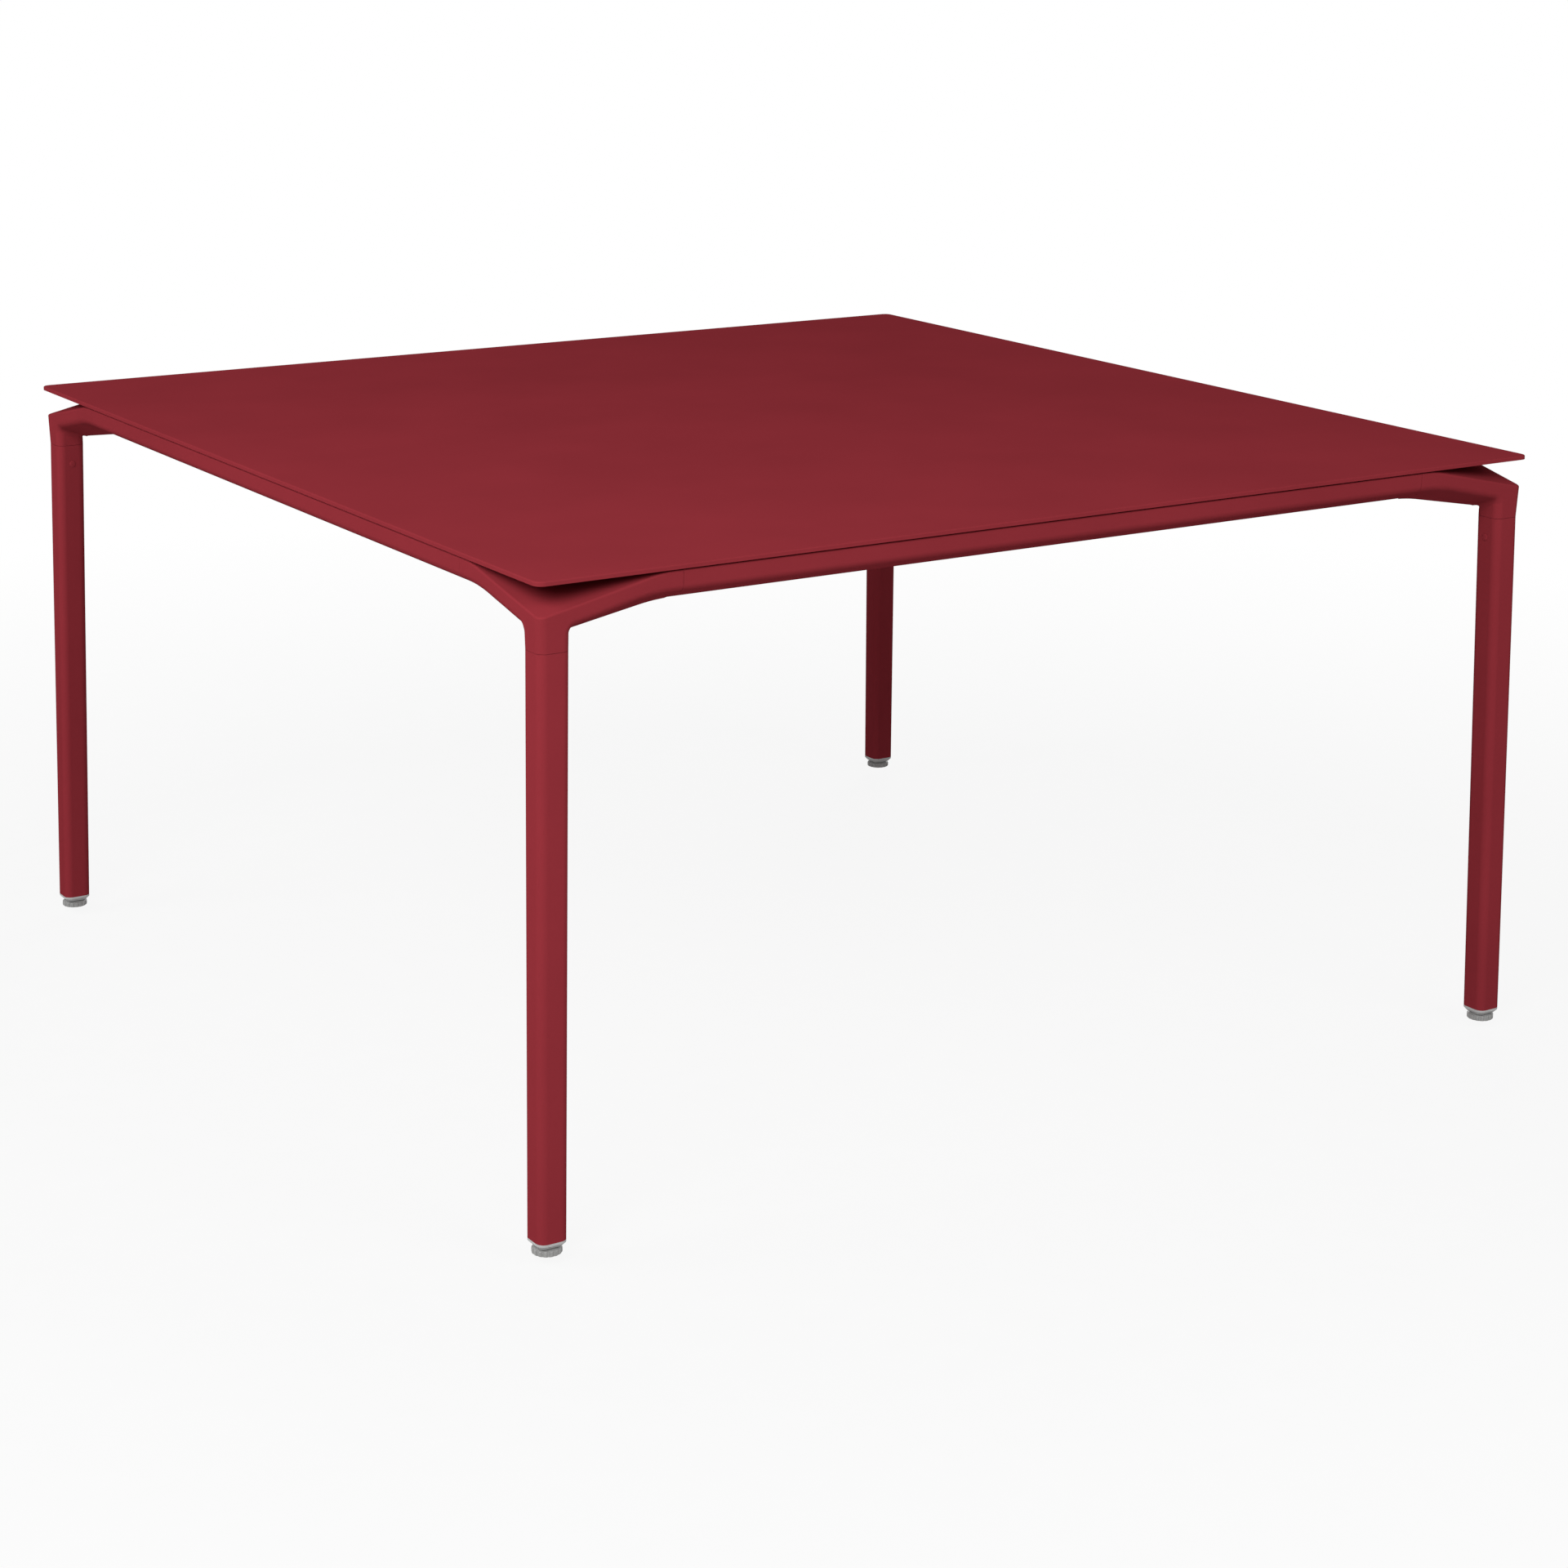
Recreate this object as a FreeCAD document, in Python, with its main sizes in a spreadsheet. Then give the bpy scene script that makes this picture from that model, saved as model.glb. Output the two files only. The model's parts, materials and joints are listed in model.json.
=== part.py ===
import FreeCAD, Part
import Sketcher
import math
import os
from types import SimpleNamespace

# Driving dimensions in millimetres
DIMENSIONS = {
    # Tabletop
    "top_side": 1400.0,
    "top_thickness": 5.0,
    "top_corner_radius": 11.0,
    "top_edge_round": 1.5,
    "table_height": 740.0,
    "shadow_gap": 1.8,
    # Legs
    "leg_inset": 24.0,
    "leg_top_width": 38.0,
    "leg_foot_width": 36.0,
    "leg_splay": 12.0,
    "edge_radius": 10.0,
    "leg_wall": 2.5,
    "leg_seam_drop": 78.0,
    "seam_gap": 0.4,
    # Frame rails
    "frame_flare": 2.5,
    "rail_face_height": 22.0,
    "rail_inner_depth": 18.0,
    "rail_under_fall": 16.0,
    "rail_wall": 2.5,
    "rail_edge_radius": 2.5,
    "rail_foot_radius": 3.0,
    "rail_flange_width": 18.0,
    "rail_flange_thickness": 3.0,
    # Cast corners
    "arm_length": 152.0,
    "arm_bend": 112.0,
    "bend_shift": 28.0,
    "arch_rise": 22.0,
    "arch_radius": 240.0,
    "arch_foot_radius": 6.0,
    "arch_overrun": 8.0,
    "fold_start": 132.0,
    "fold_drop": 34.0,
    "fold_radius": 70.0,
    "inner_blend": 12.0,
    "web_radius": 80.0,
    "web_depth": 30.0,
    "spigot_length": 60.0,
    "spigot_clearance": 0.3,
    # Joiners between corners and rails
    "joiner_depth": 26.0,
    "joiner_height": 15.0,
    "joiner_reach": 30.0,
    "joiner_clearance": 0.2,
    "joiner_screw_offset": 11.0,
    "joiner_screw_diameter": 5.0,
    "joiner_screw_bite": 5.0,
    "joiner_screw_recess": 1.0,
    "screw_clearance": 0.2,
    # Leg screws
    "leg_screw_drop": 26.0,
    "leg_screw_diameter": 5.0,
    "leg_screw_head_diameter": 9.0,
    "leg_screw_head_height": 1.2,
    "leg_screw_bite": 12.0,
    # Leg end plugs
    "plug_lip_height": 7.2,
    "plug_lip_chamfer": 4.5,
    "plug_depth": 30.0,
    "plug_clearance": 0.2,
    # Levelling feet
    "stem_diameter": 10.0,
    "stem_length": 56.0,
    "stem_clearance": 0.1,
    "stem_seat": 5.0,
    "nut_diameter": 18.0,
    "nut_height": 8.0,
    "pad_diameter": 33.5,
    "pad_rim_height": 6.0,
    "pad_rim_round": 1.2,
    "pad_height": 8.6,
    "pad_neck_diameter": 20.0,
    "pad_clearance": 0.3,
    "scallop_diameter": 4.2,
    "scallop_depth": 1.4,
    "stem_chamfer": 1.0,
    # Crossbars
    "crossbar_offset": 233.0,
    "crossbar_width": 50.0,
    "crossbar_height": 25.0,
    "crossbar_wall": 2.0,
    "crossbar_clearance": 0.5,
    "plate_width": 84.0,
    "plate_height": 30.0,
    "plate_thickness": 3.0,
    "plate_screw_spacing": 68.0,
    "plate_screw_diameter": 5.0,
    "plate_screw_head_diameter": 9.0,
    "plate_screw_head_height": 2.8,
    "plate_screw_bite": 8.0,
    "support_pad_diameter": 30.0,
    "support_pad_inset": 235.0,
    # Tabletop fixings
    "stud_diameter": 6.0,
    "stud_length": 14.0,
    "stud_end_inset": 104.0,
    "spacer_diameter": 15.0,
    "fixing_nut_diameter": 12.0,
    "fixing_nut_height": 5.5,
}
SCALLOP_COUNT = 16
# Turns in degrees
QUARTER = 90
DIAGONAL = 45
ROOT_HALF = math.sqrt(0.5)
# Overlap and length of cuts, and closeness of the points that pick an edge
CUT_MARGIN = 20.0
THROUGH_CUT = 700.0
CLOSE = 0.05


class Size:
    """A length that carries its number and the sheet expression that it comes from."""

    def __init__(self, number, text):
        self.number = number
        self.text = text

    def __add__(self, other):
        other = as_size(other)
        return Size(self.number + other.number, f"({self.text} + {other.text})")

    def __sub__(self, other):
        other = as_size(other)
        return Size(self.number - other.number, f"({self.text} - {other.text})")

    def __mul__(self, other):
        other = as_size(other)
        return Size(self.number * other.number, f"({self.text} * {other.text})")

    def __truediv__(self, other):
        other = as_size(other)
        return Size(self.number / other.number, f"({self.text} / {other.text})")

    def __neg__(self):
        return Size(-self.number, f"(-{self.text})")


def as_size(value):
    """Wrap a plain number so that it can be combined with sizes."""
    if isinstance(value, Size):
        return value
    return Size(float(value), f"({float(value)})")


def square_root(size):
    """Square root of a size."""
    return Size(math.sqrt(size.number), f"sqrt({size.text})")


doc = FreeCAD.newDocument("outdoor_dining_table")
sheet = doc.addObject("Spreadsheet::Sheet", "sizes")
for row, (alias, value) in enumerate(DIMENSIONS.items(), start=1):
    sheet.set(f"A{row}", alias)
    sheet.set(f"B{row}", str(value))
    sheet.setAlias(f"B{row}", alias)
doc.recompute()
d = SimpleNamespace(**{alias: Size(float(sheet.get(alias)), f"sizes.{alias}") for alias in DIMENSIONS})

# Levels above the floor and distances from a leg's axis that several pieces share
top_underside = d.table_height - d.top_thickness
rail_top = top_underside - d.shadow_gap
seam_level = d.table_height - d.leg_seam_drop
rail_lip = rail_top - d.rail_face_height
frame_height = rail_top - seam_level
leg_half = d.leg_top_width / 2
outer_top = leg_half + d.frame_flare
outer_lip = outer_top - d.frame_flare * d.rail_face_height / frame_height
inner_face = d.rail_inner_depth
under_run = outer_lip + inner_face
under_length = square_root(under_run * under_run + d.rail_under_fall * d.rail_under_fall)
under_cos = under_run / under_length
under_slope = d.rail_under_fall / under_run
half_span = d.top_side / 2 - d.leg_inset
rail_half = half_span - d.arm_length
pad_gap_level = d.pad_height + d.pad_clearance
leg_bottom = pad_gap_level + d.plug_lip_height
leg_height = seam_level - leg_bottom - d.seam_gap
leg_taper = (d.leg_top_width - d.leg_foot_width) / leg_height
splay_slope = d.leg_splay / leg_height
bore_radius = d.edge_radius - d.leg_wall
leg_screw_level = seam_level - d.leg_screw_drop
leg_screw_rise = d.leg_screw_drop - d.seam_gap - d.leg_screw_head_diameter / 2
leg_screw_face = leg_half - (leg_taper / 2 + splay_slope) * leg_screw_rise
spigot_half = leg_half - d.leg_wall - d.spigot_clearance
joiner_top = rail_top - d.rail_wall - d.joiner_clearance
joiner_bottom = joiner_top - d.joiner_height
joiner_centre = (inner_face - outer_lip) / 2
joiner_low_side = joiner_centre - d.joiner_depth / 2
joiner_high_side = joiner_centre + d.joiner_depth / 2
joiner_screw_start = rail_lip - (joiner_centre + outer_lip) * under_slope + d.joiner_screw_recess
flange_bottom = rail_top - d.rail_flange_thickness
flange_centre = inner_face + d.rail_flange_width / 2
crossbar_top = flange_bottom - d.crossbar_clearance
plate_centre = crossbar_top - d.plate_height / 2
plate_face = half_span - inner_face - d.plate_thickness
stud_spacing = rail_half - d.stud_end_inset
support_pad_spacing = plate_face - d.support_pad_inset

# Corners and sides, each a quarter turn on from the one before
CORNERS = ("front_left", "front_right", "back_right", "back_left")
SIDES = ("front", "right", "back", "left")
ARM_RAILS = {
    "front_left": ("front", "left"),
    "front_right": ("right", "front"),
    "back_right": ("back", "right"),
    "back_left": ("left", "back"),
}
sub_parts = []


def bind(item, path, value):
    """Tie one property of an object to the sheet."""
    item.setExpression(path, as_size(value).text)


def new_body(name, pattern=False):
    """Start a piece that is built from sketches and features; a pattern is only copied into groups."""
    body = doc.addObject("PartDesign::Body", name)
    body.Label = name
    if not pattern:
        sub_parts.append(body)
    return body


def new_sketch(body, name, plane, offset=None, tilt=None):
    """Attach a sketch to one of its body's origin planes, moved along the normal or turned about Z."""
    sketch = body.newObject("Sketcher::SketchObject", f"{body.Name}_{name}")
    base = [item for item in body.Origin.OriginFeatures if item.Role == plane][0]
    sketch.AttachmentSupport = [(base, "")]
    sketch.MapMode = "FlatFace"
    if tilt is not None:
        turned = FreeCAD.Rotation(FreeCAD.Vector(0, 1, 0), tilt)
        sketch.AttachmentOffset = FreeCAD.Placement(FreeCAD.Vector(), turned)
    if offset is not None:
        bind(sketch, "AttachmentOffset.Base.z", offset)
    return sketch


def draw_outline(sketch, corners):
    """Draw a closed outline of straight lines through corners (x, y) or rounded corners (x, y, radius)."""
    corners = [tuple(as_size(value) for value in corner) for corner in corners]
    count = len(corners)
    points = [FreeCAD.Vector(corner[0].number, corner[1].number, 0) for corner in corners]
    arcs = {}
    starts = list(points)
    ends = list(points)
    for index, corner in enumerate(corners):
        if len(corner) == 3:
            point = points[index]
            back = (points[index - 1] - point).normalize()
            ahead = (points[(index + 1) % count] - point).normalize()
            half_angle = back.getAngle(ahead) / 2
            reach = corner[2].number / math.tan(half_angle)
            middle = (back + ahead).normalize()
            centre = point + middle * (corner[2].number / math.sin(half_angle))
            ends[index] = point + back * reach
            starts[index] = point + ahead * reach
            crown = centre - middle * corner[2].number
            left_turn = back.cross(ahead).z < 0
            first, last = (ends[index], starts[index]) if left_turn else (starts[index], ends[index])
            arcs[index] = (Part.Arc(first, crown, last), left_turn)
    lines = []
    for index in range(count):
        line = Part.LineSegment(starts[index], ends[(index + 1) % count])
        lines.append(sketch.addGeometry(line, False))
    for index, corner in enumerate(corners):
        before = lines[index - 1]
        after = lines[index]
        if index in arcs:
            round_corner(sketch, *arcs[index], points[index], before, after, corner)
        else:
            sketch.addConstraint(Sketcher.Constraint("Coincident", before, 2, after, 1))
            pin_point(sketch, after, 1, corner)


def round_corner(sketch, arc, left_turn, point, before, after, corner):
    """Join two lines of an outline by a tangent arc at a corner point that is set in the sheet."""
    curve = sketch.addGeometry(arc, False)
    mark = sketch.addGeometry(Part.Point(point), True)
    first, last = (1, 2) if left_turn else (2, 1)
    sketch.addConstraint(Sketcher.Constraint("Tangent", before, 2, curve, first))
    sketch.addConstraint(Sketcher.Constraint("Tangent", curve, last, after, 1))
    sketch.addConstraint(Sketcher.Constraint("PointOnObject", mark, 1, before))
    sketch.addConstraint(Sketcher.Constraint("PointOnObject", mark, 1, after))
    radius = sketch.addConstraint(Sketcher.Constraint("Radius", curve, corner[2].number))
    bind(sketch, f"Constraints[{radius}]", corner[2])
    pin_point(sketch, mark, 1, corner)


def pin_point(sketch, geometry, end, corner):
    """Place one point of a sketch from its origin by two sizes of the sheet."""
    for kind, value in zip(("DistanceX", "DistanceY"), corner):
        if value.number == 0:
            axis = -2 if kind == "DistanceX" else -1
            sketch.addConstraint(Sketcher.Constraint("PointOnObject", geometry, end, axis))
        else:
            index = sketch.addConstraint(
                Sketcher.Constraint(kind, -1, 1, geometry, end, value.number))
            bind(sketch, f"Constraints[{index}]", value)


def pad(body, sketch, length, both_ways=False, downward=False):
    """Add a straight prism of a sketch."""
    feature = body.newObject("PartDesign::Pad", f"{sketch.Name}_pad")
    feature.Profile = sketch
    feature.SideType = "Symmetric" if both_ways else "One side"
    feature.Reversed = downward
    bind(feature, "Length", length)
    return finish(body, feature)


def cut(body, sketch, length=THROUGH_CUT, both_ways=True, forward=False):
    """Cut a straight prism of a sketch out of a body, right through unless a length is given."""
    feature = body.newObject("PartDesign::Pocket", f"{sketch.Name}_cut")
    feature.Profile = sketch
    feature.SideType = "Symmetric" if both_ways else "One side"
    feature.Reversed = forward
    bind(feature, "Length", length)
    volume = body.Shape.Volume
    finish(body, feature)
    if body.Shape.Volume > volume - CLOSE:
        raise RuntimeError(f"{feature.Name} cuts nothing")
    return feature


def loft(body, first, second, hollow=False):
    """Join two sections by straight walls, as a solid or as a hole."""
    kind = "PartDesign::SubtractiveLoft" if hollow else "PartDesign::AdditiveLoft"
    feature = body.newObject(kind, f"{first.Name}_loft")
    feature.Profile = first
    feature.Sections = [second]
    feature.Ruled = True
    return finish(body, feature)


def turn(body, sketch):
    """Turn a half section round the vertical axis of its sketch."""
    feature = body.newObject("PartDesign::Revolution", f"{sketch.Name}_turn")
    feature.Profile = sketch
    feature.ReferenceAxis = (sketch, ["V_Axis"])
    feature.Angle = 360
    return finish(body, feature)


def edge_names(shape, wanted):
    """Names of the edges for which the test is true."""
    names = []
    for number, edge in enumerate(shape.Edges, start=1):
        if wanted(edge):
            names.append(f"Edge{number}")
    return names


def fillet(body, radius, wanted):
    """Round the edges of a body for which the test is true."""
    base = body.Tip
    feature = body.newObject("PartDesign::Fillet", f"{body.Name}_round{len(body.Group)}")
    feature.Base = (base, edge_names(base.Shape, wanted))
    bind(feature, "Radius", radius)
    return finish(body, feature)


def chamfer(body, size, wanted):
    """Bevel the edges of a body for which the test is true."""
    base = body.Tip
    feature = body.newObject("PartDesign::Chamfer", f"{body.Name}_bevel{len(body.Group)}")
    feature.Base = (base, edge_names(base.Shape, wanted))
    bind(feature, "Size", size)
    return finish(body, feature)


def finish(body, feature):
    """Rebuild the document after a feature and make sure that the feature worked."""
    body.Tip = feature
    doc.recompute()
    failed = "Invalid" in feature.State or "Error" in feature.State
    if failed or feature.Shape.isNull() or not feature.Shape.isValid():
        raise RuntimeError(f"{feature.Name} failed: {feature.State}")
    return feature


def place(item, x, y, quarters=0):
    """Move a sub-part to its place, tied to the sheet, after some quarter turns about the vertical."""
    turned = FreeCAD.Rotation(FreeCAD.Vector(0, 0, 1), QUARTER * quarters)
    item.Placement = FreeCAD.Placement(FreeCAD.Vector(), turned)
    bind(item, "Placement.Base.x", x)
    bind(item, "Placement.Base.y", y)


def rectangle(left, right, low, high, radius=None):
    """Corners of a rectangle for an outline, all sharp or all rounded alike."""
    corners = [(left, low), (right, low), (right, high), (left, high)]
    if radius is None:
        return corners
    return [corner + (radius,) for corner in corners]


def square(half, radius, shift=0.0):
    """Corners of a rounded square whose middle may be shifted along the diagonal."""
    shift = as_size(shift)
    return rectangle(shift - half, shift + half, shift - half, shift + half, radius)


def middle_of(edge):
    """Point half way along an edge."""
    return edge.valueAt((edge.FirstParameter + edge.LastParameter) / 2)


def draw_circle(sketch, x, y, diameter):
    """Draw a circle that is set in the sheet."""
    x, y, diameter = as_size(x), as_size(y), as_size(diameter)
    centre = FreeCAD.Vector(x.number, y.number, 0)
    circle = sketch.addGeometry(Part.Circle(centre, FreeCAD.Vector(0, 0, 1), diameter.number / 2), False)
    index = sketch.addConstraint(Sketcher.Constraint("Diameter", circle, diameter.number))
    bind(sketch, f"Constraints[{index}]", diameter)
    pin_point(sketch, circle, 3, (x, y))


def corner_place(name, x=0.0, y=0.0):
    """Place in the table of a point given from a corner's leg axis, x and y pointing inward."""
    return quarter_turn(as_size(x) - half_span, as_size(y) - half_span, CORNERS.index(name))


def foot_place(name):
    """Place in the table of the middle of a corner's foot."""
    return corner_place(name, -d.leg_splay, -d.leg_splay)


def quarter_turn(x, y, quarters):
    """Turn a point about the origin by quarter turns."""
    for _ in range(quarters):
        x, y = -y, x
    return x, y


# Tabletop: one sheet with rounded corners and softened edges
def make_tabletop():
    body = new_body("tabletop")
    outline = new_sketch(body, "outline", "XY_Plane", top_underside)
    draw_outline(outline, square(d.top_side / 2, d.top_corner_radius))
    pad(body, outline, d.top_thickness)

    def upper_edge(edge):
        return all(abs(vertex.Z - d.table_height.number) < CLOSE for vertex in edge.Vertexes)

    fillet(body, d.top_edge_round, upper_edge)


# Cast corners: two arms that drop away under the tabletop, a leg stub and a spigot for the leg
def make_corner(name):
    body = new_body(f"{name}_corner")
    spare = outer_top + CUT_MARGIN
    plan = new_sketch(body, "plan", "XY_Plane", seam_level)
    draw_outline(plan, [
        (-spare, -spare),
        (d.arm_length, -spare),
        (d.arm_length, inner_face),
        (inner_face, inner_face, d.inner_blend),
        (inner_face, d.arm_length),
        (-spare, d.arm_length),
    ])
    pad(body, plan, frame_height)
    add_web(body)
    flare_outer_faces(body, spare)
    arch_underside(body)
    round_lips(body)
    fold_top(body)
    add_spigot(body)
    add_sockets(body)
    place(body, *corner_place(name), CORNERS.index(name))


def add_web(body):
    """Fill the inner angle between the arms with a web below the tabletop."""
    end = inner_face + d.web_radius + d.inner_blend
    web = new_sketch(body, "web", "XY_Plane", rail_top)
    draw_outline(web, [
        (0.0, 0.0),
        (end, 0.0),
        (end, inner_face),
        (inner_face, inner_face, d.web_radius),
        (inner_face, end),
        (0.0, end),
    ])
    pad(body, web, d.web_depth, downward=True)


def flare_outer_faces(body, spare):
    """Lean both outer faces outward towards the top and round the edge between them."""
    slope = d.frame_flare / frame_height
    for plane in ("YZ_Plane", "XZ_Plane"):
        flare = new_sketch(body, f"flare_{plane[:2]}", plane)
        draw_outline(flare, [
            (-leg_half + slope * CUT_MARGIN, seam_level - CUT_MARGIN),
            (-outer_top - slope * CUT_MARGIN, rail_top + CUT_MARGIN),
            (-spare - CUT_MARGIN, rail_top + CUT_MARGIN),
            (-spare - CUT_MARGIN, seam_level - CUT_MARGIN),
        ])
        cut(body, flare)

    def outer_edge(edge):
        ends = [vertex.Point for vertex in edge.Vertexes]
        return all(abs(point.x - point.y) < CLOSE and point.x < 0 for point in ends)

    fillet(body, d.edge_radius, outer_edge)


def arch_underside(body):
    """Cut the slanted underside of both arms, bent askew towards the leg, which leaves the leg stub."""
    for plane, side in (("XZ_Plane", -1), ("YZ_Plane", 1)):
        outside = arch_section(body, "outside", plane, side, -d.arch_overrun)
        inside = arch_section(body, "inside", plane, side, under_run + d.arch_overrun)
        loft(body, outside, inside, hollow=True)


def arch_section(body, name, plane, side, reach):
    """Draw the opening below an arm at a distance inward from its lip."""
    level = rail_lip - under_slope * reach
    bend = d.arm_bend + d.bend_shift * reach / under_run
    low = seam_level - CUT_MARGIN
    section = new_sketch(body, f"{name}_{plane[:2]}", plane, offset=(reach - outer_lip) * side)
    draw_outline(section, [
        (leg_half, low),
        (leg_half, level - d.arch_rise, d.arch_foot_radius),
        (bend, level, d.arch_radius),
        (d.arm_length + CUT_MARGIN, level),
        (d.arm_length + CUT_MARGIN, low),
    ])
    return section


def round_lips(body):
    """Round the lower edges of the outer faces, from the arm ends down the leg stub, and its inner edge."""

    def lip(edge):
        middle = middle_of(edge)
        share = (middle.z - seam_level.number) / frame_height.number
        face = leg_half.number + d.frame_flare.number * share
        end = d.arm_length.number - CLOSE
        on_front = abs(middle.y + face) < CLOSE and 0 < middle.x < end
        on_side = abs(middle.x + face) < CLOSE and 0 < middle.y < end
        between = seam_level.number + CLOSE < middle.z < rail_lip.number + CLOSE
        return between and (on_front or on_side)

    fillet(body, d.edge_radius, lip)

    def inner_edge(edge):
        ends = [vertex.Point for vertex in edge.Vertexes]
        return all(abs(point.x - leg_half.number) + abs(point.y - leg_half.number) < CLOSE for point in ends)

    fillet(body, d.edge_radius, inner_edge)


def fold_top(body):
    """Cut the broad slanted face that lets the corner drop from the tabletop and soften its ridge."""
    fold_reach = (d.fold_start - outer_top) * ROOT_HALF
    corner_reach = outer_top / ROOT_HALF
    slope = d.fold_drop / (fold_reach + corner_reach)
    fold = new_sketch(body, "fold", "XZ_Plane", tilt=DIAGONAL)
    draw_outline(fold, [
        (-corner_reach - CUT_MARGIN, rail_top - d.fold_drop - slope * CUT_MARGIN),
        (fold_reach, rail_top, d.fold_radius),
        (d.arm_length, rail_top),
        (d.arm_length, rail_top + CUT_MARGIN),
        (-corner_reach - CUT_MARGIN, rail_top + CUT_MARGIN),
    ])
    cut(body, fold)

    def ridge(edge):
        middle = middle_of(edge)
        return abs(middle.y + outer_top.number) < CLOSE and abs(middle.z - rail_top.number) < CLOSE

    fillet(body, d.rail_edge_radius, ridge)


def add_spigot(body):
    """Add the spigot that fills the top of the leg tube, with the holes of the leg screws."""
    high = new_sketch(body, "spigot_high", "XY_Plane", seam_level)
    draw_outline(high, square(spigot_half, bore_radius))
    low = new_sketch(body, "spigot_low", "XY_Plane", seam_level - d.spigot_length)
    draw_outline(low, square(spigot_half, bore_radius, -splay_slope * d.spigot_length))
    loft(body, low, high)
    hole = d.leg_screw_diameter + d.screw_clearance
    reach = spigot_half - d.leg_screw_bite
    for plane, side in (("YZ_Plane", 1), ("XZ_Plane", -1)):
        screw = new_sketch(body, f"screw_{plane[:2]}", plane, offset=reach * side)
        draw_circle(screw, 0.0, leg_screw_level, hole)
        cut(body, screw, d.leg_top_width, both_ways=False, forward=side > 0)


def add_sockets(body):
    """Cut the joiner's socket and its screw hole into both arms."""
    socket = rectangle(joiner_low_side - d.joiner_clearance, joiner_high_side + d.joiner_clearance,
                       joiner_bottom - d.joiner_clearance, joiner_top + d.joiner_clearance)
    start = d.arm_length - d.joiner_reach
    end_x = new_sketch(body, "socket_x", "YZ_Plane", offset=start)
    draw_outline(end_x, socket)
    cut(body, end_x, d.joiner_reach + CUT_MARGIN, both_ways=False, forward=True)
    end_y = new_sketch(body, "socket_y", "XZ_Plane", offset=-start)
    draw_outline(end_y, socket)
    cut(body, end_y, d.joiner_reach + CUT_MARGIN, both_ways=False, forward=False)
    holes = new_sketch(body, "screw_holes", "XY_Plane", offset=joiner_bottom)
    screw = d.arm_length - d.joiner_screw_offset
    draw_circle(holes, screw, joiner_centre, d.joiner_screw_diameter + d.screw_clearance)
    draw_circle(holes, joiner_centre, screw, d.joiner_screw_diameter + d.screw_clearance)
    cut(body, holes, frame_height, both_ways=False)


# Rails: hollow extrusions with a short outer face, a slanted underside and an inner flange
def make_rail(side):
    body = new_body(f"{side}_rail")
    wall = d.rail_wall
    floor = wall / under_cos - wall * under_slope
    depth = under_run - wall
    section = new_sketch(body, "section", "YZ_Plane")
    draw_outline(section, [
        (-outer_top, rail_top, d.rail_edge_radius),
        (-outer_lip, rail_lip, d.edge_radius),
        (inner_face, rail_lip - d.rail_under_fall, d.rail_foot_radius),
        (inner_face, flange_bottom),
        (inner_face + d.rail_flange_width, flange_bottom),
        (inner_face + d.rail_flange_width, rail_top),
    ])
    draw_outline(section, [
        (-outer_top + wall, rail_top - wall),
        (-outer_lip + wall, rail_lip + floor, d.edge_radius - wall),
        (inner_face - wall, rail_lip + wall / under_cos - depth * under_slope),
        (inner_face - wall, rail_top - wall),
    ])
    pad(body, section, (rail_half - d.seam_gap) * 2, both_ways=True)
    holes = new_sketch(body, "flange_holes", "XY_Plane", rail_top)
    for step in (-1, 0, 1):
        draw_circle(holes, stud_spacing * step, flange_centre, d.stud_diameter + d.screw_clearance)
    cut(body, holes, d.rail_flange_thickness, both_ways=False)
    if side in ("front", "back"):
        screws = new_sketch(body, "plate_holes", "XZ_Plane", -inner_face)
        for x in plate_screw_places():
            draw_circle(screws, x, plate_centre, d.plate_screw_diameter + d.screw_clearance)
        cut(body, screws, d.rail_wall, both_ways=False, forward=True)
    quarters = SIDES.index(side)
    place(body, *quarter_turn(as_size(0.0), -half_span, quarters), quarters)


def plate_screw_places():
    """Places of the crossbar plates' screws along a rail."""
    places = []
    for side in (-1, 1):
        for end in (-1, 1):
            places.append(d.crossbar_offset * side + d.plate_screw_spacing * end / 2)
    return places


# Joiners: bars that sit half in a corner's arm and half in a rail
def make_joiner(corner, arm):
    body = new_body(f"{corner}_{ARM_RAILS[corner][arm]}_joiner")
    section = new_sketch(body, "section", "YZ_Plane")
    half = d.joiner_depth / 2
    draw_outline(section, rectangle(-half, half, joiner_bottom, joiner_top))
    pad(body, section, (d.joiner_reach - d.joiner_clearance) * 2, both_ways=True)
    hole = new_sketch(body, "screw_hole", "XY_Plane", joiner_bottom)
    draw_circle(hole, -d.joiner_screw_offset, 0.0, d.joiner_screw_diameter + d.screw_clearance)
    cut(body, hole, d.joiner_screw_bite + d.screw_clearance, both_ways=False, forward=True)
    along = (d.arm_length, joiner_centre) if arm == 0 else (joiner_centre, d.arm_length)
    place(body, *corner_place(corner, *along), CORNERS.index(corner) + arm)


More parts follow.
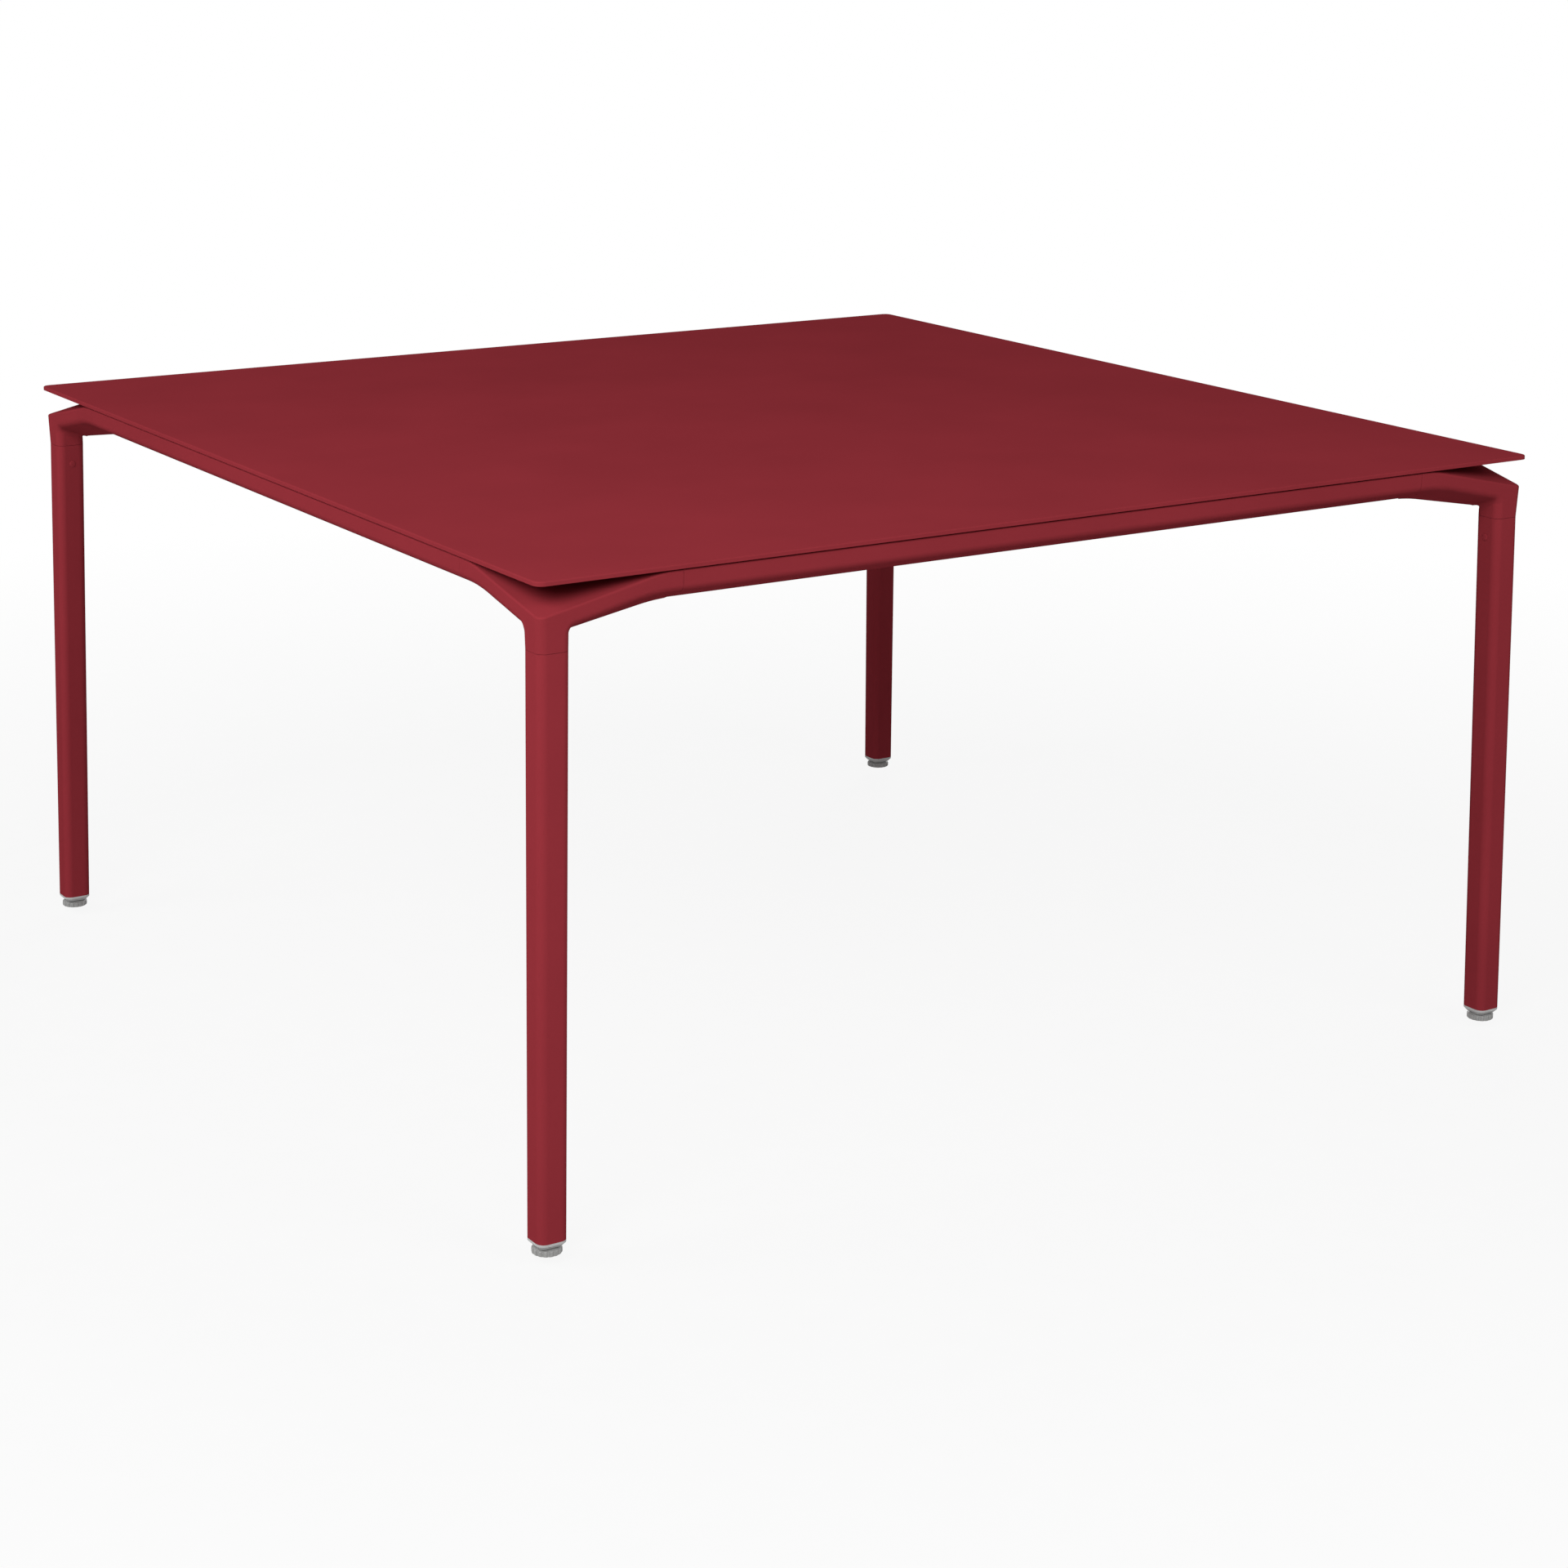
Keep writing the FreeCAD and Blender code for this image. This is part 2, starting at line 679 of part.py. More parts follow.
# Legs: tapered tubes with rounded edges that lean outward to the foot
def make_leg(corner):
    body = new_body(f"{corner}_leg")
    foot_half = d.leg_foot_width / 2
    for name, inset, radius in (("wall", 0.0, d.edge_radius), ("bore", d.leg_wall, bore_radius)):
        low = new_sketch(body, f"{name}_low", "XY_Plane", leg_bottom)
        draw_outline(low, square(foot_half - inset, radius, -d.leg_splay))
        high = new_sketch(body, f"{name}_high", "XY_Plane", leg_bottom + leg_height)
        draw_outline(high, square(leg_half - inset, radius))
        loft(body, low, high, hollow=name == "bore")
    for plane, side in (("YZ_Plane", 1), ("XZ_Plane", -1)):
        hole = new_sketch(body, f"screw_{plane[:2]}", plane)
        draw_circle(hole, 0.0, leg_screw_level, d.leg_screw_diameter + d.screw_clearance)
        cut(body, hole, d.leg_top_width, both_ways=False, forward=side > 0)
    place(body, *corner_place(corner), CORNERS.index(corner))


# Leg end plugs: a lip below the tube, a body inside it, a bore for the stem and a seat for the insert
def make_plug(corner):
    body = new_body(f"{corner}_plug")
    half = d.leg_foot_width / 2
    lip = new_sketch(body, "lip", "XY_Plane", pad_gap_level)
    draw_outline(lip, square(half, d.edge_radius))
    pad(body, lip, d.plug_lip_height)

    def lower_edge(edge):
        return all(abs(vertex.Z - pad_gap_level.number) < CLOSE for vertex in edge.Vertexes)

    chamfer(body, d.plug_lip_chamfer, lower_edge)
    inner_half = half - d.leg_wall - d.plug_clearance
    low = new_sketch(body, "inside_low", "XY_Plane", leg_bottom)
    draw_outline(low, square(inner_half, bore_radius))
    high = new_sketch(body, "inside_high", "XY_Plane", leg_bottom + d.plug_depth)
    draw_outline(high, square(inner_half, bore_radius, splay_slope * d.plug_depth))
    loft(body, low, high)
    bore = new_sketch(body, "bore", "XY_Plane", leg_bottom)
    draw_circle(bore, 0.0, 0.0, d.stem_diameter + d.stem_clearance * 2)
    cut(body, bore)
    seat = new_sketch(body, "insert_seat", "XY_Plane", leg_bottom + d.plug_depth - d.nut_height)
    draw_circle(seat, 0.0, 0.0, d.nut_diameter + d.plug_clearance * 2)
    cut(body, seat, d.plug_depth, both_ways=False, forward=True)
    place(body, *foot_place(corner), CORNERS.index(corner))


# Threaded inserts in the plugs
def make_insert(corner):
    body = new_body(f"{corner}_insert")
    ring = new_sketch(body, "ring", "XY_Plane", leg_bottom + d.plug_depth - d.nut_height)
    draw_circle(ring, 0.0, 0.0, d.nut_diameter)
    draw_circle(ring, 0.0, 0.0, d.stem_diameter + d.stem_clearance * 2)
    pad(body, ring, d.nut_height)
    place(body, *foot_place(corner))


# Levelling feet: a stem that runs in the insert and a scalloped pad that turns with it
def make_stem(corner):
    body = new_body(f"{corner}_stem")
    radius = d.stem_diameter / 2
    low = d.pad_height - d.stem_seat
    high = low + d.stem_length
    section = new_sketch(body, "section", "XZ_Plane")
    draw_outline(section, [
        (0.0, low),
        (radius, low),
        (radius, high - d.stem_chamfer),
        (radius - d.stem_chamfer, high),
        (0.0, high),
    ])
    turn(body, section)
    place(body, *foot_place(corner))


def make_pad(corner):
    body = new_body(f"{corner}_pad")
    radius = d.pad_diameter / 2
    bore = d.stem_diameter / 2 + d.stem_clearance
    section = new_sketch(body, "section", "XZ_Plane")
    draw_outline(section, [
        (0.0, 0.0),
        (radius, 0.0, d.pad_rim_round),
        (radius, d.pad_rim_height, d.pad_rim_round),
        (d.pad_neck_diameter / 2, d.pad_height),
        (bore, d.pad_height),
        (bore, d.pad_height - d.stem_seat),
        (0.0, d.pad_height - d.stem_seat),
    ])
    turn(body, section)
    notch = new_sketch(body, "scallop", "XY_Plane")
    draw_circle(notch, radius + d.scallop_diameter / 2 - d.scallop_depth, 0.0, d.scallop_diameter)
    first = cut(body, notch)
    axis = [item for item in body.Origin.OriginFeatures if item.Role == "Z_Axis"][0]
    pattern = body.newObject("PartDesign::PolarPattern", f"{body.Name}_scallops")
    pattern.Originals = [first]
    pattern.Axis = (axis, [""])
    pattern.Angle = 360
    pattern.Occurrences = SCALLOP_COUNT
    finish(body, pattern)
    place(body, *foot_place(corner))


# Crossbars under the tabletop, with an end plate against each rail
def make_crossbar(side):
    body = new_body(f"{side}_crossbar")
    half = d.crossbar_width / 2
    low = crossbar_top - d.crossbar_height
    wall = d.crossbar_wall
    section = new_sketch(body, "section", "XZ_Plane")
    draw_outline(section, rectangle(-half, half, low, crossbar_top))
    draw_outline(section, rectangle(-half + wall, half - wall, low + wall, crossbar_top - wall))
    pad(body, section, plate_face * 2, both_ways=True)
    place(body, d.crossbar_offset * (1 if side == "right" else -1), 0.0)


def make_plate(side, end):
    body = new_body(f"{side}_crossbar_{end}_plate")
    half = d.plate_width / 2
    outline = new_sketch(body, "outline", "XZ_Plane")
    draw_outline(outline, rectangle(-half, half, crossbar_top - d.plate_height, crossbar_top))
    for step in (-1, 1):
        draw_circle(outline, d.plate_screw_spacing * step / 2, plate_centre,
                    d.plate_screw_diameter + d.screw_clearance)
    pad(body, outline, d.plate_thickness)
    sign = 1 if side == "right" else -1
    y = -plate_face if end == "front" else plate_face + d.plate_thickness
    place(body, d.crossbar_offset * sign, y)


# Small turned pieces, each made once and then set in its places
def turned_pattern(name, corners):
    body = new_body(name, pattern=True)
    section = new_sketch(body, "section", "XZ_Plane")
    draw_outline(section, corners)
    turn(body, section)
    return body


def pin(name, diameter, low, high):
    return turned_pattern(name, rectangle(0.0, as_size(diameter) / 2, low, high))


def ring(name, diameter, bore, low, high):
    return turned_pattern(name, rectangle(as_size(bore) / 2, as_size(diameter) / 2, low, high))


def headed_screw(name, diameter, length, head_diameter, head_height):
    """A screw whose head stands on the zero level and whose shank points down."""
    return turned_pattern(name, [
        (0.0, -length),
        (diameter / 2, -length),
        (diameter / 2, 0.0),
        (head_diameter / 2, 0.0),
        (head_diameter / 2, head_height),
        (0.0, head_height),
    ])


def make_group(name, piece, places):
    """Set copies of one piece at (x, y, z), its upper end pointing along a direction."""
    links = []
    for number, (x, y, z, direction) in enumerate(places, start=1):
        link = doc.addObject("App::Link", f"{name}_{number}")
        link.LinkedObject = piece
        aimed = FreeCAD.Rotation(FreeCAD.Vector(0, 0, 1), FreeCAD.Vector(*direction))
        link.Placement = FreeCAD.Placement(FreeCAD.Vector(), aimed)
        bind(link, "Placement.Base.x", x)
        bind(link, "Placement.Base.y", y)
        bind(link, "Placement.Base.z", z)
        links.append(link)
    group = doc.addObject("Part::Compound", name)
    group.Label = name
    group.Links = links
    sub_parts.append(group)


UP = (0, 0, 1)


def joiner_screw_places():
    places = []
    reach = d.arm_length - d.joiner_screw_offset
    for corner in CORNERS:
        for x, y in ((reach, joiner_centre), (joiner_centre, reach)):
            places.append((*corner_place(corner, x, y), joiner_screw_start, UP))
    return places


def leg_screw_places():
    places = []
    for corner in CORNERS:
        for x, y, way in ((leg_screw_face, 0.0, (1, 0)), (0.0, leg_screw_face, (0, 1))):
            direction = (*quarter_turn(*way, CORNERS.index(corner)), 0)
            places.append((*corner_place(corner, x, y), leg_screw_level, direction))
    return places


def plate_screw_group_places():
    places = []
    for x in plate_screw_places():
        places.append((x, -plate_face, plate_centre, (0, 1, 0)))
        places.append((x, plate_face, plate_centre, (0, -1, 0)))
    return places


def fixing_places():
    places = []
    for quarters in range(len(SIDES)):
        for step in (-1, 0, 1):
            x, y = quarter_turn(stud_spacing * step, flange_centre - half_span, quarters)
            places.append((x, y, 0.0, UP))
    return places


def support_pad_places():
    places = []
    for side in (-1, 1):
        for step in (-1, 0, 1):
            places.append((d.crossbar_offset * side, support_pad_spacing * step, 0.0, UP))
    return places


def make_fasteners():
    joiner_screw = pin("joiner_screw", d.joiner_screw_diameter, 0.0,
                       joiner_bottom + d.joiner_screw_bite - joiner_screw_start)
    make_group("joiner_screws", joiner_screw, joiner_screw_places())
    leg_screw = headed_screw("leg_screw", d.leg_screw_diameter,
                             leg_screw_face - spigot_half + d.leg_screw_bite - d.screw_clearance,
                             d.leg_screw_head_diameter, d.leg_screw_head_height)
    make_group("leg_screws", leg_screw, leg_screw_places())
    plate_screw = headed_screw("plate_screw", d.plate_screw_diameter,
                               d.plate_thickness + d.plate_screw_bite,
                               d.plate_screw_head_diameter, d.plate_screw_head_height)
    make_group("plate_screws", plate_screw, plate_screw_group_places())
    stud = pin("top_stud", d.stud_diameter, top_underside - d.stud_length, top_underside)
    make_group("top_studs", stud, fixing_places())
    bore = d.stud_diameter + d.screw_clearance
    spacer = ring("top_spacer", d.spacer_diameter, bore, rail_top, top_underside)
    make_group("top_spacers", spacer, fixing_places())
    nut = ring("top_nut", d.fixing_nut_diameter, bore, flange_bottom - d.fixing_nut_height, flange_bottom)
    make_group("top_nuts", nut, fixing_places())
    support = pin("support_pad", d.support_pad_diameter, crossbar_top, top_underside)
    make_group("support_pads", support, support_pad_places())


make_tabletop()
for rail in SIDES:
    make_rail(rail)
for corner in CORNERS:
    make_corner(corner)
    make_joiner(corner, 0)
    make_joiner(corner, 1)
    make_leg(corner)
    make_plug(corner)
    make_insert(corner)
    make_stem(corner)
    make_pad(corner)
for side in ("left", "right"):
    make_crossbar(side)
    for end in ("front", "back"):
        make_plate(side, end)
make_fasteners()
doc.recompute()

for item in doc.Objects:
    if "Invalid" in item.State or "Error" in item.State:
        raise RuntimeError(f"{item.Name} failed: {item.State}")
for item in sub_parts:
    if item.Shape.isNull() or not item.Shape.isValid():
        raise RuntimeError(f"{item.Label} has no valid shape")

os.makedirs("parts", exist_ok=True)
for item in sub_parts:
    item.Shape.exportStep(f"parts/{item.Label}.step")
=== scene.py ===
import json
import math

import bmesh
import bpy
from bpy.props import FloatProperty, FloatVectorProperty, IntProperty, PointerProperty
from mathutils import Matrix, Vector


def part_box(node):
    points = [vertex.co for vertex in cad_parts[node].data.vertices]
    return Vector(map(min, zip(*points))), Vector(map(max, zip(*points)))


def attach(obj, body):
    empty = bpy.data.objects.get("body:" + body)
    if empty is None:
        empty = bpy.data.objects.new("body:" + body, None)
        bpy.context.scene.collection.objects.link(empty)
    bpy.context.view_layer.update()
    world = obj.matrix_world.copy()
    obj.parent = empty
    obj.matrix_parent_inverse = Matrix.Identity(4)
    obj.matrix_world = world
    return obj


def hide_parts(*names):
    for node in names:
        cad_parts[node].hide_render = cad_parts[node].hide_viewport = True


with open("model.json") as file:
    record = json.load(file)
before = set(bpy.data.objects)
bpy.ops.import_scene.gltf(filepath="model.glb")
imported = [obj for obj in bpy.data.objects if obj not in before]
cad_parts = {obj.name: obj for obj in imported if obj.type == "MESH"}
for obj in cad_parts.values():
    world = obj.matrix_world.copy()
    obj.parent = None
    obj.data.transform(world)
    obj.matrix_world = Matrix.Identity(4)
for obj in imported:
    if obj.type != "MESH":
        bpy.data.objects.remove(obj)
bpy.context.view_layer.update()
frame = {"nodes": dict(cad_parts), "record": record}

bl_info = {
    "name": "Outdoor dining table",
    "version": (1, 0, 0),
    "blender": (4, 5, 0),
    "location": "3D View > Sidebar > Table",
    "description": "Coats the metal table, threads its levelling feet and makes its screws and nuts",
    "category": "Object",
}

CORNERS = ("front_left", "front_right", "back_right", "back_left")
SIDES = ("front", "right", "back", "left")
UP = Vector((0.0, 0.0, 1.0))
# Point under the tabletop that the lamps face
TABLE_MIDDLE = Vector((0.0, 0.0, 0.6))

# Points of a node's mesh that are nearer than this are one point
WELD = 0.000001
# Edges that bend less than this, in degrees, are shaded round
PLAIN_CREASE = 32.0
COAT_CREASE = 50.0


# Sizes and colours that a user would change

class CoatSettings(bpy.types.PropertyGroup):
    """Powder coat of the tabletop, frame and legs."""

    colour: FloatVectorProperty(
        name="Coat colour", description="Colour of the powder coat",
        subtype="COLOR", size=3, min=0.0, max=1.0, default=(0.262, 0.0285, 0.0375))
    shade: FloatProperty(
        name="Tone change", description="How much darker the coat is where it lies thinner",
        subtype="FACTOR", min=0.0, max=1.0, default=0.07)
    cloud: FloatProperty(
        name="Cloud size", description="Size of the soft changes of tone",
        unit="LENGTH", min=0.01, max=1.0, default=0.16)
    grain: FloatProperty(
        name="Grain size", description="Size of the grains of the coat's fine texture",
        unit="LENGTH", min=0.0002, max=0.01, default=0.0011)
    grain_depth: FloatProperty(
        name="Grain depth", description="Height of the grains",
        unit="LENGTH", min=0.0, max=0.001, default=0.000012)
    roughness: FloatProperty(
        name="Roughness", description="Mean roughness of the matt coat",
        subtype="FACTOR", min=0.0, max=1.0, default=0.75)


class FootSettings(bpy.types.PropertyGroup):
    """Plastic ends of the legs and threaded stems of the levelling feet."""

    plug_colour: FloatVectorProperty(
        name="Plug colour", description="Colour of the plugs in the leg ends",
        subtype="COLOR", size=3, min=0.0, max=1.0, default=(0.47, 0.47, 0.465))
    pad_colour: FloatVectorProperty(
        name="Pad colour", description="Colour of the turning pads",
        subtype="COLOR", size=3, min=0.0, max=1.0, default=(0.32, 0.32, 0.315))
    pitch: FloatProperty(
        name="Thread pitch", description="Rise of the stem's thread for each turn",
        unit="LENGTH", min=0.0005, max=0.003, default=0.0015)
    thread_depth: FloatProperty(
        name="Thread depth", description="Depth of the stem's thread",
        unit="LENGTH", min=0.0, max=0.002, default=0.0009)


class FixingSettings(bpy.types.PropertyGroup):
    """Screws, studs and nuts."""

    socket: FloatProperty(
        name="Socket width", description="Width across the flats of the screws' sockets",
        unit="LENGTH", min=0.001, max=0.006, default=0.003)
    socket_depth: FloatProperty(
        name="Socket depth", description="Depth of the screws' sockets",
        unit="LENGTH", min=0.0005, max=0.004, default=0.0016)
    stud_pitch: FloatProperty(
        name="Stud pitch", description="Rise of the stud's thread for each turn",
        unit="LENGTH", min=0.0005, max=0.003, default=0.001)
    stud_thread: FloatProperty(
        name="Stud thread", description="Depth of the stud's thread",
        unit="LENGTH", min=0.0, max=0.002, default=0.0006)
    sides: IntProperty(
        name="Round steps", description="Number of steps round a turned piece",
        min=12, max=96, default=36)


class StageSettings(bpy.types.PropertyGroup):
    """Camera, floor and light."""

    camera_place: FloatVectorProperty(
        name="Camera place", description="Where the camera stands",
        subtype="TRANSLATION", unit="LENGTH", size=3, default=(-2.2739, -3.5822, 1.4907))
    camera_turn: FloatProperty(
        name="Camera turn", description="Direction of the view, from +Y towards +X",
        subtype="ANGLE", default=math.radians(33.031))
    camera_dip: FloatProperty(
        name="Camera dip", description="How far the view points below the horizon",
        subtype="ANGLE", default=math.radians(13.528))
    camera_roll: FloatProperty(
        name="Camera roll", description="Lean of the camera",
        subtype="ANGLE", default=math.radians(0.553))
    lens: FloatProperty(
        name="Lens", description="Focal length for a sensor 36 mm wide, in millimetres",
        min=10.0, max=300.0, default=75.868)
    shift: FloatProperty(
        name="Lens shift", description="Upward shift of the picture, in parts of its width",
        min=-0.16, max=0.16, default=-0.1041)
    floor_size: FloatProperty(
        name="Floor size", description="Side of the square floor",
        unit="LENGTH", min=5.0, max=200.0, default=60.0)
    key_power: FloatProperty(
        name="Near lamps", description="Power of the three lamps on the near side together",
        unit="POWER", min=0.0, max=2000.0, default=244.0)
    fill_power: FloatProperty(
        name="Far lamp", description="Power of the low lamp on the far side",
        unit="POWER", min=0.0, max=2000.0, default=200.0)
    ambient: FloatProperty(
        name="Room light", description="Strength of the even light from all round",
        min=0.0, max=2.0, default=0.20)


# Shader helpers

def new_finish(name):
    """Start a node material and give back the material, its tree and its shader."""
    material = bpy.data.materials.new(name)
    material.use_nodes = True
    tree = material.node_tree
    return material, tree, tree.nodes["Principled BSDF"]


def add_noise(tree, size, detail, stretch=(1.0, 1.0, 1.0)):
    """Add a solid noise whose lumps have about the given size, placed in metres."""
    place = tree.nodes.new("ShaderNodeTexCoord")
    mapping = tree.nodes.new("ShaderNodeMapping")
    mapping.inputs["Scale"].default_value = stretch
    noise = tree.nodes.new("ShaderNodeTexNoise")
    noise.inputs["Scale"].default_value = 1.0 / size
    noise.inputs["Detail"].default_value = detail
    tree.links.new(place.outputs["Object"], mapping.inputs["Vector"])
    tree.links.new(mapping.outputs["Vector"], noise.inputs["Vector"])
    return noise.outputs["Fac"]


def add_range(tree, value, low, high, start=0.3, end=0.7):
    """Map a value between start and end to a range of numbers."""
    node = tree.nodes.new("ShaderNodeMapRange")
    limits = {"From Min": start, "From Max": end, "To Min": low, "To Max": high}
    for name, number in limits.items():
        node.inputs[name].default_value = number
    tree.links.new(value, node.inputs["Value"])
    return node.outputs["Result"]


def add_tones(tree, value, dark, light, start=0.3, end=0.7):
    """Map a value between start and end to a run of two tones."""
    ramp = tree.nodes.new("ShaderNodeValToRGB")
    first, last = ramp.color_ramp.elements
    first.position, first.color = start, (*dark, 1.0)
    last.position, last.color = end, (*light, 1.0)
    tree.links.new(value, ramp.inputs["Fac"])
    return ramp.outputs["Color"]


def add_bump(tree, shader, value, depth, under=None):
    """Raise the surface by a noise, over another bump where one is given."""
    bump = tree.nodes.new("ShaderNodeBump")
    bump.inputs["Strength"].default_value = 1.0
    bump.inputs["Distance"].default_value = depth
    tree.links.new(value, bump.inputs["Height"])
    if under is not None:
        tree.links.new(under, bump.inputs["Normal"])
    tree.links.new(bump.outputs["Normal"], shader.inputs["Normal"])
    return bump.outputs["Normal"]


def tone(colour, factor):
    """A colour made lighter or darker."""
    return tuple(channel * factor for channel in colour)


# Finishes: sizes and depths in metres, roughness and tones from low to high

COAT_ROUGHNESS_SPREAD = 0.06
# Size of the lumps of the coat's peel, by the size of its grains
COAT_PEEL = 6
COAT_SPECULAR = 0.0
NYLON_COLOUR = (0.018, 0.018, 0.019)
PLASTIC_CLOUD = 0.012
# Darkest and lightest tone of a plastic, by its colour
PLASTIC_TONES = (0.94, 1.06)
PLASTIC_GRAIN = 0.0007
PLASTIC_GRAIN_DEPTH = 0.00003
PLASTIC_ROUGHNESS = (0.42, 0.56)
PLASTIC_SPECULAR = 0.35
STEEL_CLOUD = 0.004
STEEL_TONES = ((0.47, 0.48, 0.50), (0.62, 0.62, 0.62))
STEEL_ROUGHNESS = (0.24, 0.40)
STEEL_GRAIN = 0.0006
STEEL_GRAIN_DEPTH = 0.00001
ALLOY_LINE = 0.0012
ALLOY_STRETCH = (0.04, 0.04, 1.0)
ALLOY_TONES = ((0.54, 0.55, 0.56), (0.68, 0.68, 0.68))
ALLOY_ROUGHNESS = (0.28, 0.46)
ALLOY_LINE_DEPTH = 0.00002


def powder_coat(settings):
    """Matt red powder coat: soft clouds of tone over a peel and a fine even grain."""
    material, tree, shader = new_finish("red_powder_coat")
    clouds = add_noise(tree, settings.cloud, detail=3.0)
    dark = tone(settings.colour, 1.0 - settings.shade / 2)
    light = tone(settings.colour, 1.0 + settings.shade / 2)
    tree.links.new(add_tones(tree, clouds, dark, light), shader.inputs["Base Color"])
    grain = add_noise(tree, settings.grain, detail=2.0)
    matt = add_range(tree, grain, settings.roughness - COAT_ROUGHNESS_SPREAD,
                     settings.roughness + COAT_ROUGHNESS_SPREAD)
    tree.links.new(matt, shader.inputs["Roughness"])
    lumps = add_noise(tree, settings.grain * COAT_PEEL, detail=1.0)
    peel = add_bump(tree, shader, lumps, settings.grain_depth)
    add_bump(tree, shader, grain, settings.grain_depth, peel)
    shader.inputs["Specular IOR Level"].default_value = COAT_SPECULAR
    return material


def moulded_plastic(name, colour):
    """Moulded plastic with a fine spark-eroded grain."""
    material, tree, shader = new_finish(name)
    clouds = add_noise(tree, PLASTIC_CLOUD, detail=3.0)
    dark, light = (tone(colour, factor) for factor in PLASTIC_TONES)
    tree.links.new(add_tones(tree, clouds, dark, light), shader.inputs["Base Color"])
    grain = add_noise(tree, PLASTIC_GRAIN, detail=2.0)
    tree.links.new(add_range(tree, grain, *PLASTIC_ROUGHNESS), shader.inputs["Roughness"])
    add_bump(tree, shader, grain, PLASTIC_GRAIN_DEPTH)
    shader.inputs["Specular IOR Level"].default_value = PLASTIC_SPECULAR
    return material


def plated_steel():
    """Zinc plated steel with faint clouds in its gloss."""
    material, tree, shader = new_finish("zinc_plated_steel")
    clouds = add_noise(tree, STEEL_CLOUD, detail=4.0)
    tree.links.new(add_tones(tree, clouds, *STEEL_TONES), shader.inputs["Base Color"])
    tree.links.new(add_range(tree, clouds, *STEEL_ROUGHNESS), shader.inputs["Roughness"])
    add_bump(tree, shader, add_noise(tree, STEEL_GRAIN, detail=2.0), STEEL_GRAIN_DEPTH)
    shader.inputs["Metallic"].default_value = 1.0
    return material


def bare_alloy():
    """Extruded aluminium with fine lines along its length."""
    material, tree, shader = new_finish("bare_aluminium")
    lines = add_noise(tree, ALLOY_LINE, detail=3.0, stretch=ALLOY_STRETCH)
    tree.links.new(add_tones(tree, lines, *ALLOY_TONES), shader.inputs["Base Color"])
    tree.links.new(add_range(tree, lines, *ALLOY_ROUGHNESS), shader.inputs["Roughness"])
    add_bump(tree, shader, lines, ALLOY_LINE_DEPTH)
    shader.inputs["Metallic"].default_value = 1.0
    return material


def finish_once(name, make, *values):
    """Make a finish the first time that it is asked for."""
    return bpy.data.materials.get(name) or make(*values)


def coat_finish(context):
    """The red coat that all the outer metal shares."""
    return finish_once("red_powder_coat", powder_coat, context.scene.table_coat)


def steel_finish():
    """The plated steel that the small fixings share."""
    return finish_once("zinc_plated_steel", plated_steel)


def smoothing_nodes(crease):
    """Node group that welds a mesh and shades it smooth, apart from edges sharper than a crease."""
    name = f"smooth_to_{crease:.0f}_degrees"
    if name in bpy.data.node_groups:
        return bpy.data.node_groups[name]
    group = bpy.data.node_groups.new(name, "GeometryNodeTree")
    for way in ("INPUT", "OUTPUT"):
        group.interface.new_socket("Geometry", in_out=way, socket_type="NodeSocketGeometry")
    start = group.nodes.new("NodeGroupInput")
    end = group.nodes.new("NodeGroupOutput")
    weld = group.nodes.new("GeometryNodeMergeByDistance")
    weld.inputs["Distance"].default_value = WELD
    bend = group.nodes.new("GeometryNodeInputMeshEdgeAngle")
    sharp = group.nodes.new("FunctionNodeCompare")
    sharp.operation = "GREATER_THAN"
    sharp.inputs["B"].default_value = math.radians(crease)
    normals = group.nodes.new("GeometryNodeSetMeshNormal")
    normals.inputs["Remove Custom"].default_value = True
    group.links.new(start.outputs[0], weld.inputs["Geometry"])
    group.links.new(weld.outputs[0], normals.inputs["Mesh"])
    group.links.new(bend.outputs["Unsigned Angle"], sharp.inputs["A"])
    group.links.new(sharp.outputs[0], normals.inputs["Edge Sharpness"])
    group.links.new(normals.outputs[0], end.inputs[0])
    return group


def finish_nodes(material, names, crease=PLAIN_CREASE):
    """Give one finish to nodes of the frame and shade them smooth up to a crease in degrees."""
    for name in names:
        piece = frame["nodes"][name]
        for slot in piece.material_slots:
            slot.material = material
        smooth = piece.modifiers.new("smooth_edges", "NODES")
        smooth.node_group = smoothing_nodes(crease)
        level = piece.modifiers.new("level_faces", "WEIGHTED_NORMAL")
        level.keep_sharp = True


# Outlines of turned pieces: each gives the radius at an angle

# Ridge of a thread, cut flat at its full depth: height at which its flanks would meet, by the
# depth, and the rise of a flank, in depths for each pitch
THREAD_PEAK = 1.35
THREAD_FLANK = 3.4


def round_outline(radius):
    """Outline of a round turned piece."""
    return lambda angle: radius


def hex_outline(width, limit=math.inf):
    """Outline of a hexagon by its width across flats, with its corners cut to a limit."""
    def radius(angle):
        turn = (angle + math.pi / 6) % (math.pi / 3) - math.pi / 6
        return min(width / 2 / math.cos(turn), limit)
    return radius


def thread_outline(radius, depth, pitch, height, limit):
    """Outline of a screw thread at a height, no larger than a limit."""
    def radius_at(angle):
        share = (height / pitch - angle / (2 * math.pi)) % 1.0
        ridge = min(1.0, max(0.0, THREAD_PEAK - abs(share - 0.5) * THREAD_FLANK))
        return min(radius - depth * (1.0 - ridge), limit)
    return radius_at


# Mesh helpers

def add_loops(shape, rings, sides, place):
    """Add loops of points to a mesh: rings are (height, outline), place is the piece's matrix."""
    loops = []
    for height, outline in rings:
        loop = []
        for step in range(sides):
            angle = 2 * math.pi * step / sides
            radius = outline(angle)
            point = Vector((radius * math.cos(angle), radius * math.sin(angle), height))
            loop.append(shape.verts.new(place @ point))
        loops.append(loop)
    return loops


